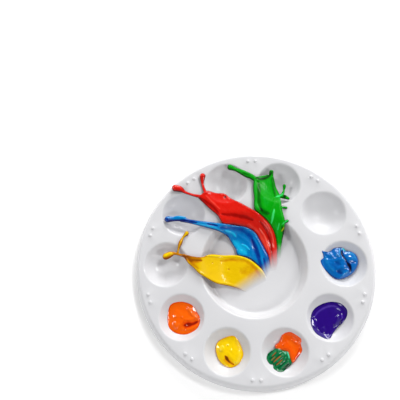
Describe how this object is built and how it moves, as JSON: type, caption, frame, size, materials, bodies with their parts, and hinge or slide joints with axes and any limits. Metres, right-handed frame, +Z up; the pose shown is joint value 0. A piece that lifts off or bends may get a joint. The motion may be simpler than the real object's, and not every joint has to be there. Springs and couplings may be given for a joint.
{
  "type": "mixing palette",
  "caption": "Round white plastic paint mixing palette with small wells around a wide central mixing well, carrying dabs and poured ribbons of wet paint",
  "frame": {"origin": "centre of the face the palette rests on, under the middle of the mixing well", "axes": "+Z up out of the wells, +X from the middle to the well that holds the blue dab, +Y from the middle away from the user"},
  "size_m": [0.17, 0.17, 0.0147],
  "materials": {
    "white_plastic": "smooth semi-gloss moulded polystyrene",
    "yellow_paint": "thick wet acrylic paint, glossy",
    "blue_paint": "thick wet acrylic paint, glossy",
    "red_paint": "thick wet acrylic paint, glossy",
    "green_paint": "thick wet acrylic paint, glossy",
    "orange_paint": "thick wet acrylic paint, glossy",
    "golden_yellow_paint": "thick wet acrylic paint, glossy",
    "red_orange_paint": "thick wet acrylic paint, glossy",
    "deep_green_paint": "thick wet acrylic paint, glossy",
    "purple_paint": "thick wet acrylic paint, glossy",
    "sky_blue_paint": "thick wet acrylic paint, glossy"
  },
  "bodies": {
    "root": {"palette_tray": "white_plastic", "yellow_ribbon": "yellow_paint", "blue_ribbon": "blue_paint", "red_ribbon": "red_paint", "green_ribbon": "green_paint", "orange_dab": "orange_paint", "yellow_dab": "golden_yellow_paint", "orange_stroke": "red_orange_paint", "green_dab": "deep_green_paint", "purple_dab": "purple_paint", "blue_dab": "sky_blue_paint"}
  },
  "joints": []
}
